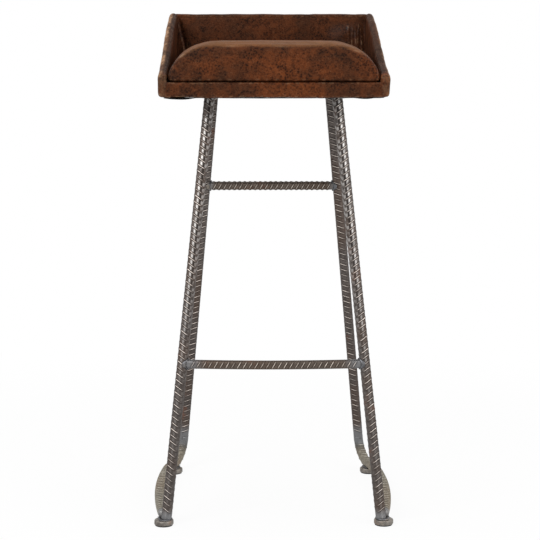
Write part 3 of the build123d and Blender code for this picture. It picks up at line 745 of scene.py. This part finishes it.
def noted(piece, name, value):
    # Writes a number for each point of the piece, from its place and normal, for its finish to read.
    mesh = piece.data
    normals = [Vector(corner.vector) for corner in mesh.vertex_normals]
    mark = mesh.attributes.new(name, "FLOAT", "POINT")
    mark.data.foreach_set("value", [value(point.co, normal) for point, normal in zip(mesh.vertices, normals)])


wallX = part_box("side_cover_right")[0].x
outerX = seatBox[1].x
seatFront, seatBack = seatBox[0].y, seatBox[1].y
underside, backTop = seatBox[0].z, seatBox[1].z
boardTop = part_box("seat_board")[1].z
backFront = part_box("back_cover")[0].y


def wingHeight(share):
    # The side panel's top edge from its front to the shelf beside the back.
    front = underside + sidePanel["frontRise"]
    return front + (backTop - front) * share - sidePanel["sway"] * math.sin(2 * math.pi * share)


def sideOutline(x):
    slope = [(x, seatFront + (backFront - seatFront) * i / 14, wingHeight(i / 14)) for i in range(15)]
    return [(x, seatBack, underside), (x, seatBack, backTop), *slope[::-1], (x, seatFront, underside)]


def sideCover(name, side):
    outline = sideOutline(0.0)
    corners = {0: sidePanel["footCorner"], 1: sidePanel["backCorner"], len(outline) - 2: sidePanel["frontCorner"],
               len(outline) - 1: sidePanel["footCorner"]}
    mesh = roundedPrism(outline, corners, Vector((side, 0, 0)), wallX, outerX - wallX, panelSkin["round"])
    broad, fine = sidePanel["waves"]

    def move(place, normal):
        # Soft waves over the panel, slack folds at the inner back corner and a slack lower hem
        middle = ease(place.z, underside, underside + 0.03) * ease(seatBack - place.y, 0, 0.04)
        swell = sidePanel["swell"] * middle * max(0.0, normal.x * side) * (0.6 + 0.5 * ripple(place, 14, 2.0 + side))
        wave = broad * ripple(place, 32, 5.0 + side) + fine * ripple(place, 90, 8.0)
        inner = max(0.0, -normal.x * side) * ease(place.y, backFront - 0.06, backFront - 0.01)
        fold = sidePanel["fold"] * inner * ripple((place.x, place.y * 3, place.z * 0.6), 30, 1.0)
        hem = sidePanel["hem"] * ease(underside + 0.012 - place.z, 0, 0.012) * ripple(place, 60, 12.0)
        share = clipped((place.y - seatFront) / (backFront - seatFront))
        half = (outerX - wallX) / 2
        across = min(0.96, abs(abs(place.x) - wallX - half) / half)
        below = max(0.0, wingHeight(share) - place.z)
        bullnose = sidePanel["nose"] * half * (1 - math.sqrt(1 - across ** 2))
        bullnose *= (1 - ease(below, 0, 0.022)) * ease(place.y - seatFront, 0.006, 0.03)
        return normal * (swell + wave + fold + hem + sidePanel["proud"]) - up * bullnose

    piece = leatherPiece(f"side_cover_{name}_leather", mesh, sidePanel["smoothing"], move, f"side_cover_{name}")
    highlightFrom = sidePanel["highlightFrom"][name]

    def dark(place, normal):
        # Painted shade: darker on the inside, and more so over the top edge
        inside = 1 - ease(abs(place.x), wallX + 0.001, outerX - 0.001)
        return (inside + ease(normal.z, 0.3, 0.8)) * ease(place.y, seatFront + 0.006, seatFront + 0.02)

    def rub(place, normal):
        # Painted highlight, partly rubbed wear, along the outer line of the top edge, wider on the left, and a little
        # paler on the front end
        line = ease(normal.x * side, highlightFrom, highlightFrom + 0.4) * ease(normal.z, 0.05, 0.3)
        end = sidePanel["endPale"] * (1 - ease(place.y, seatFront + 0.003, seatFront + 0.01))
        return line * clipped(0.6 + 1.2 * ripple(place, 45, 4.0)) + end

    noted(piece, "paintedShade", dark)
    noted(piece, "rub", rub)


for name, side in sides.items():
    sideCover(name, side)


def backCover():
    outline = [(0.0, seatBack, underside), (0.0, seatBack, backTop), (0.0, backFront, backTop),
               (0.0, backFront, underside)]
    reach = wallX + backPanel["tuck"]      # the ends go a little way into the side panels
    mesh = roundedPrism(outline, {1: backPanel["topRound"], 2: backPanel["topRound"]}, Vector((1, 0, 0)), -reach,
                        2 * reach, backPanel["soften"])
    broad, fine = backPanel["waves"]

    def pleats(place):
        # Fine upright pleats near the right end, each with its own lean
        rise = 0.0
        for i, at in enumerate(backPanel["pleats"]):
            line = at + 0.05 * (0.5 - i % 2) * (backTop - 0.03 - place.z)
            line += 0.0012 * ripple((0, 0, place.z), 55, 2.0 * i)
            fade = ease(backTop - place.z, 0.012 + 0.004 * (i % 3), 0.03)
            rise += fade * math.exp(-((place.x - line) / backPanel["pleatWidth"]) ** 2)
        return rise

    def crease(place):
        # One deep crease that runs down and inwards from the left corner
        line = -wallX + 0.003 + 0.22 * max(0.0, backTop - 0.004 - place.z)
        return math.exp(-((place.x - line) / backPanel["creaseWidth"]) ** 2) * ease(backTop - place.z, 0.002, 0.014)

    def move(place, normal):
        # Foam face swells, the ends pucker where the cover turns into the corners, and the top edge waves
        face = max(0.0, -normal.y)
        swell = backPanel["swell"] * face * (1 - ease(abs(place.x), wallX - 0.035, wallX))
        swell *= ease(backTop - place.z, 0, 0.03)
        gather = backPanel["pleatRise"] * face * pleats(place) - backPanel["creaseDepth"] * face * crease(place)
        ends = backPanel["pucker"] * face * ease(abs(place.x), wallX - 0.045, wallX - 0.01)
        ends *= ripple((place.x * 2.2, 0, place.z * 0.7), 30, 5.0)
        wave = broad * ripple(place, 22, 6.0) + fine * ripple(place, 75, 7.0)
        lip = face * math.exp(-((backTop - backPanel["lipBelow"] - place.z) / backPanel["lipWidth"]) ** 2)
        return normal * (swell + gather + ends + wave - backPanel["lip"] * lip)

    piece = leatherPiece("back_cover_leather", mesh, backPanel["smoothing"], move, "back_cover", "back_foam")
    # Shiny in patches towards the right end
    noted(piece, "shine", lambda place, normal: ease(place.x, 0.075, 0.15) * max(0.0, -normal.y)
          * ease(backTop - place.z, 0.012, 0.03) * clipped(0.55 + 1.2 * ripple(place, 60, 3.0)))
    # Painted shade over the whole back
    noted(piece, "paintedShade", lambda place, normal: 1.0)


backCover()


def frontBorder():
    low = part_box("front_border")[0]
    broad, fine = borderStrip["waves"]
    top, back = boardTop + borderStrip["lift"], low.y + borderStrip["depth"]
    outline = [(0.0, low.y, low.z), (0.0, low.y, top), (0.0, back, top), (0.0, back, low.z)]
    mesh = roundedPrism(outline, {}, Vector((1, 0, 0)), -wallX - borderStrip["tuck"],
                        2 * (wallX + borderStrip["tuck"]), borderStrip["soften"])

    def move(place, normal):
        wave = broad * ripple(place, 26, 3.5) + fine * ripple(place, 80, 4.5)
        hem = borderStrip["hem"] * max(0.0, -normal.z) * max(0.1, 0.5 + ripple(place, 38, 9.5))
        wrinkle = borderStrip["wrinkle"] * ripple((place.x * 5, 0, place.z), 22, 2.5) * max(0.0, -normal.y)
        return normal * (wave + hem + wrinkle + borderStrip["proud"])

    leatherPiece("front_border_leather", mesh, borderStrip["smoothing"], move, "front_border")


frontBorder()
print("covers upholstered")


# Cushion: a crowned form that cloth simulation fills out

cushionShape = dict(frontRise=0.0613, crownRise=0.0716, backRise=0.0625, crownSetback=0.165, crownPower=2.5,
                    flat=0.090, frontFull=2.0, crownFull=2.4, sideHeight=0.003, drawIn=0.002, lift=0.0004,
                    wallGap=0.0004, backGap=0.0005, frontRound=0.011, backRound=0.012, slack=0.0008,
                    voxel=0.0045, pressure=4.0, cap=0.0012, frames=20, edgeSpread=0.0026,
                    pinned=0.004, pucker=0.0005, waves=(0.0008, 0.0003), weltIn=0.0030, weltUp=0.0012, streak=0.5)


def cushionSection(halfWidth, rise, flat, full):
    # Half of a cross-section, from the middle of the base round to the middle of the top.
    side = cushionShape["sideHeight"]
    points = [(halfWidth * share, 0.0) for share in (0.0, 0.25, 0.5, 0.75, 0.9)]
    points.append((halfWidth - cushionShape["drawIn"], 0.0))
    points += [(flat + (halfWidth - flat) * max(0.0, math.cos(a)) ** (2 / full),
                side + (rise - side) * math.sin(a) ** (2 / full)) for a in [math.pi / 2 * i / 18 for i in range(19)]]
    points += [(flat * share, rise) for share in (0.75, 0.5, 0.25, 0.0)]
    return points


def quarterRound(radius):
    # Points of a quarter round, each as its way in from the end and its fall from the flat.
    return [(radius * (1 - math.cos(a)), radius * (1 - math.sin(a))) for a in [math.pi / 2 * i / 6 for i in range(7)]]


def cushionForm(inset):
    shape = cushionShape
    front, back = seatFront + inset, backFront - shape["backGap"] - inset
    crown = seatFront + shape["crownSetback"]
    stations = [(front + away, fall) for away, fall in quarterRound(shape["frontRound"])]
    startFlat, endFlat = front + shape["frontRound"], back - shape["backRound"]
    stations += [(startFlat + (endFlat - startFlat) * i / 22, 0.0) for i in range(1, 22)]
    stations += [(back - away, fall) for away, fall in quarterRound(shape["backRound"])[::-1]]
    form = bmesh.new()
    rings = []
    for y, trim in stations:
        end, rise = (front, shape["frontRise"]) if y < crown else (back, shape["backRise"])
        drop = (shape["crownRise"] - rise) * ((crown - y) / (crown - end)) ** shape["crownPower"]
        off = inset + trim
        crowned = 1 - drop / (shape["crownRise"] - shape["frontRise"])
        full = shape["frontFull"] + (shape["crownFull"] - shape["frontFull"]) * crowned
        halfWidth = wallX - shape["wallGap"] - inset - trim * 0.2
        half = cushionSection(halfWidth, shape["crownRise"] - drop - off, shape["flat"] - off, full)
        ring = half + [(-x, z) for x, z in half[-2:0:-1]]
        rings.append([form.verts.new((x, y, boardTop + shape["lift"] + z)) for x, z in ring])
    for one, two in zip(rings, rings[1:]):
        for i in range(len(one)):
            form.faces.new((one[i - 1], one[i], two[i], two[i - 1]))
    form.faces.new(rings[0])
    form.faces.new(rings[-1])
    return meshOf(form)


def inflated(piece):
    # Fills the cover with air for a moment, then keeps the shape, with each point's move held to the cap.
    shape = cushionShape
    start = np.array([point.co for point in piece.data.vertices])
    pins = piece.vertex_groups.new(name="base")
    pins.add([i for i, point in enumerate(start) if point[2] < boardTop + shape["pinned"]], 1.0, "REPLACE")
    modifier = piece.modifiers.new("filling", "CLOTH")
    settings = modifier.settings
    settings.quality = 6
    settings.mass = 0.3
    settings.tension_stiffness = settings.compression_stiffness = 18
    settings.shear_stiffness = 8
    settings.bending_stiffness = 1.2
    settings.use_pressure = True
    settings.uniform_pressure_force = shape["pressure"]
    settings.vertex_group_mass = "base"
    settings.effector_weights.gravity = 0
    for step in range(1, shape["frames"] + 1):
        scene.frame_set(step)
    graph = bpy.context.evaluated_depsgraph_get()
    filled = np.array([point.co for point in piece.evaluated_get(graph).data.vertices])
    scene.frame_set(1)
    piece.modifiers.clear()
    piece.vertex_groups.clear()
    move = filled - start
    far = np.linalg.norm(move, axis=1, keepdims=True)
    capped = start + move * np.minimum(1.0, shape["cap"] / np.maximum(far, 1e-9))
    piece.data.vertices.foreach_set("co", capped.astype(np.float32).ravel())
    piece.data.update()
    print("cushion filled, mean move mm", round(float(far.mean()) * 1000, 2))


def cushion():
    shape = cushionShape
    piece = newObject("cushion_leather", cushionForm(shape["slack"]), leather)
    remeshed(piece, shape["voxel"], 2)
    inflated(piece)
    finer = piece.modifiers.new("finer", "SUBSURF")
    finer.levels = finer.render_levels = 1
    applied(piece)
    broad, fine = shape["waves"]

    def move(place, normal):
        # Gentle unevenness, and short puckers along the front seam
        low = ease(boardTop + 0.016 - place.z, 0, 0.014) * ease(seatFront + 0.02 - place.y, 0, 0.012)
        pucker = shape["pucker"] * low * math.sin(place.x * 420 + 2 * ripple(place, 25, 2.0))
        wave = broad * ripple(place, 16, 1.5) + fine * ripple(place, 60, 3.5)
        welt = ease(boardTop + 0.0055 - place.z, 0, 0.005) * ease(seatFront + 0.012 - place.y, 0, 0.008)
        tucked = Vector((0, shape["weltIn"], shape["weltUp"] * (0.6 + ripple(place, 9, 6.0))))
        return normal * (wave + pucker) + tucked * welt

    shaped(piece, move)
    markEdges(piece, shape["edgeSpread"])
    # Paler, less flecked top: sitting wear, and painted top light on the up-facing surface
    noted(piece, "sitWearAndTopLight", lambda place, normal: ease(normal.z, 0.55, 0.95)
          * ease(place.z, boardTop + 0.03, boardTop + 0.05))
    # Painted highlight streaks, partly rubbed wear, where the front turns into the top
    noted(piece, "rub", lambda place, normal: shape["streak"] * math.exp(-((normal.z - 0.8) / 0.12) ** 2)
          * ease(seatFront + 0.04 - place.y, 0, 0.02)
          * clipped(2.4 * ripple((place.x * 0.5, place.y, place.z * 2), 45, 8.0)))
    join(piece, "leather", "cushion_cover", "cushion_foam")


cushion()


# Dust cover: thin black cloth under the seat, held by staples

dustSheet = dict(cell=0.004, sag=0.0016, slack=0.0009, leftDrop=0.0036, rightDrop=0.0018, holeGap=0.0012,
                 thickness=0.0005, topGap=0.0002, fold=0.0005, stapleInset=0.006, stapleUp=0.0003)
stapleSizes = dict(pitch=0.040, width=0.010, height=0.004, corner=0.0009, wire=0.00045)


def stapleTree():
    keys, nodes, given = sizedTree("staples", stapleSizes)
    path = nodes.add("GeometryNodeMeshToCurve", {}, [given])
    points = nodes.add("GeometryNodeCurveToPoints", {"mode": "LENGTH"}, {"Curve": path, "Length": given.out("pitch")})
    ring = nodes.add("GeometryNodeCurvePrimitiveQuadrilateral", {},
                     {"Width": given.out("width"), "Height": given.out("height")})
    ring = nodes.add("GeometryNodeFilletCurve", {"mode": "POLY"},
                     {"Curve": ring, "Count": 3, "Radius": given.out("corner")})
    wire = nodes.add("GeometryNodeCurvePrimitiveCircle", {}, {"Resolution": 6, "Radius": given.out("wire")})
    ring = nodes.add("GeometryNodeCurveToMesh", {}, {"Curve": ring, "Profile Curve": wire})
    ring = nodes.add("GeometryNodeTransform", {}, {"Geometry": ring, "Rotation": (math.pi / 2, 0, 0)})
    turn = nodes.add("FunctionNodeAlignRotationToVector", {"axis": "X"}, {"Vector": points.out("Tangent")})
    row = nodes.add("GeometryNodeInstanceOnPoints", {}, {"Points": points, "Instance": ring, "Rotation": turn})
    return closedTree(nodes, given, row), keys


def stapleRow(low, high):
    inset, top = dustSheet["stapleInset"], high.z + dustSheet["stapleUp"]
    corners = [(low.x + inset, low.y + inset), (high.x - inset, low.y + inset), (high.x - inset, high.y - inset),
               (low.x + inset, high.y - inset)]
    line = bpy.data.meshes.new("staples")
    line.from_pydata([(x, y, top) for x, y in corners], [(i, (i + 1) % 4) for i in range(4)], [])
    staples = newObject("dust_cover_staples", line, zinc)
    tree, keys = stapleTree()
    grown(staples, tree, keys, {**stapleSizes, "finish": zinc})
    join(staples, "zinc_hardware")
    return staples


def dustCover():
    low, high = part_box("dust_cover")
    size, cell = high - low, dustSheet["cell"]
    form = bmesh.new()
    bmesh.ops.create_grid(form, x_segments=round(size.x / cell), y_segments=round(size.y / cell), size=0.5)
    top = high.z - dustSheet["thickness"] / 2 - dustSheet["topGap"]
    for vertex in form.verts:
        vertex.co = Vector((low.x + (vertex.co.x + 0.5) * size.x, low.y + (vertex.co.y + 0.5) * size.y, top))
    # Round holes for the legs
    radius = barSizes["radius"] + dustSheet["holeGap"]
    holes = [atHeight(foot, leg, high.z) for foot, leg in ((frontFoot, frontTop), (legJoint, rearTop))]
    holes = [hole.xy for side in sides.values() for hole in mirrored(holes, side)]
    inside = [v for v in form.verts if min((v.co.xy - hole).length for hole in holes) < radius]
    bmesh.ops.delete(form, geom=inside, context="VERTS")
    for vertex in form.verts:
        hole = min(holes, key=lambda place: (vertex.co.xy - place).length)
        off = vertex.co.xy - hole
        if vertex.is_boundary and off.length < radius + cell * 1.5:
            vertex.co.xy = hole + off.normalized() * radius
    # Sags in the middle, a little between the staples along its edge, and more at the front corners
    for vertex in form.verts:
        x, y = (vertex.co.x - low.x) / size.x, (vertex.co.y - low.y) / size.y
        edge = min(x * size.x, (1 - x) * size.x, y * size.y, (1 - y) * size.y)
        bay = math.cos(2 * math.pi * (vertex.co.x + vertex.co.y) / stapleSizes["pitch"])
        droop = dustSheet["slack"] * (1 - ease(edge, 0.004, 0.03)) * (0.5 + 0.5 * bay)
        fold = dustSheet["fold"] * ripple(vertex.co, 24, 3.0) * ease(edge, 0, 0.02)
        corner = dustSheet["leftDrop"] * math.exp(-((x - 0.07) / 0.06) ** 2)
        corner += dustSheet["rightDrop"] * math.exp(-((x - 0.92) / 0.05) ** 2)
        droop += corner * (1 - ease(y, 0.0, 0.12))
        vertex.co.z -= dustSheet["sag"] * (16 * x * (1 - x) * y * (1 - y)) ** 0.6 + droop + fold
    sheet = newObject("dust_cover_cloth", meshOf(form), cloth)
    wall = sheet.modifiers.new("wall", "SOLIDIFY")
    wall.thickness, wall.offset = dustSheet["thickness"], 0
    applied(sheet)
    join(sheet, "dust_cloth", "dust_cover")
    staples = stapleRow(low, high)


dustCover()
print("dust cover stapled")


# Plain finishes for the CAD pieces that stay

finishes = {"foot_pad": rubber, "zinc_hardware": zinc, "plywood": plywood, "weld_steel": weldMetal}
for row in frame["record"]["subparts"]:
    if row["material_slot"] in finishes:
        mesh = cad[row["node"]].data
        mesh.materials.clear()
        mesh.materials.append(finishes[row["material_slot"]])


# Floor, light and camera

studio = dict(floor=24.0, floorDrop=0.0002, world=0.5)
softboxes = dict(keyLight=dict(place=(-1.5, -2.0, 1.9), aim=(0, 0, 0.55), size=1.4, power=46.0),
                 fillLight=dict(place=(1.9, -1.6, 1.2), aim=(0, 0, 0.4), size=1.6, power=24.0),
                 topLight=dict(place=(0.0, 0.1, 2.4), aim=(0, 0, 0.7), size=1.2, power=13.0))


def seenRays(nodes):
    # 1 for what the camera sees, straight or in a reflection.
    rays = nodes.add("ShaderNodeLightPath", output="Is Camera Ray")
    return rays.most(rays.out("Is Glossy Ray")).most(rays.out("Is Transmission Ray"))


def whiteFloor():
    form = bmesh.new()
    bmesh.ops.create_grid(form, x_segments=1, y_segments=1, size=studio["floor"])
    bmesh.ops.translate(form, verts=form.verts, vec=-up * studio["floorDrop"])
    made, nodes, place = material("paleFloor")
    seen = seenRays(nodes)
    plain = nodes.add("ShaderNodeBsdfDiffuse", {}, {"Color": colour(240, 240, 239)})
    bright = nodes.add("ShaderNodeEmission", {}, {"Color": (1, 1, 1, 1), "Strength": 1.0})
    away = nodes.vector("LENGTH", place, output="Value").ramped(0.35, 1.6)
    mixed = nodes.add("ShaderNodeMixShader", {}, [seen * (0.93 + away * 0.07), plain, bright])
    nodes.add("ShaderNodeOutputMaterial", {}, {"Surface": mixed})
    newObject("floor", meshOf(form), made)


def whiteWorld():
    world = bpy.data.worlds.new("studio")
    nodes = emptyTree(world)
    seen = seenRays(nodes)
    soft = nodes.add("ShaderNodeBackground", {}, {"Color": (1, 1, 1, 1), "Strength": studio["world"]})
    bright = nodes.add("ShaderNodeBackground", {}, {"Color": (1, 1, 1, 1), "Strength": 1.0})
    mixed = nodes.add("ShaderNodeMixShader", {}, [seen, soft, bright])
    nodes.add("ShaderNodeOutputWorld", {}, {"Surface": mixed})
    scene.world = world


def softbox(name, place, aim, size, power):
    lamp = bpy.data.lights.new(name, "AREA")
    lamp.shape = "SQUARE"
    lamp.size = size
    lamp.energy = power
    box = bpy.data.objects.new(name, lamp)
    box.location = place
    box.rotation_euler = (Vector(aim) - Vector(place)).to_track_quat("-Z", "Y").to_euler()
    scene.collection.objects.link(box)


def stoolCamera():
    # At seat height, a little to the left, with a long lens
    look = dict(place=(-0.0330, -2.5321, 0.702), down=6.687, right=0.652, focal=96.67, sensor=36.0)
    lens = bpy.data.cameras.new("camera")
    lens.lens, lens.sensor_width = look["focal"], look["sensor"]
    lens.clip_start, lens.clip_end = 0.05, 50
    eye = bpy.data.objects.new("camera", lens)
    eye.location = look["place"]
    eye.rotation_euler = (math.radians(90 - look["down"]), 0, math.radians(-look["right"]))
    scene.collection.objects.link(eye)
    scene.camera = eye


whiteFloor()
whiteWorld()
for name, values in softboxes.items():
    softbox(name, **values)
stoolCamera()
scene.view_settings.view_transform = "Standard"
print("studio lit")
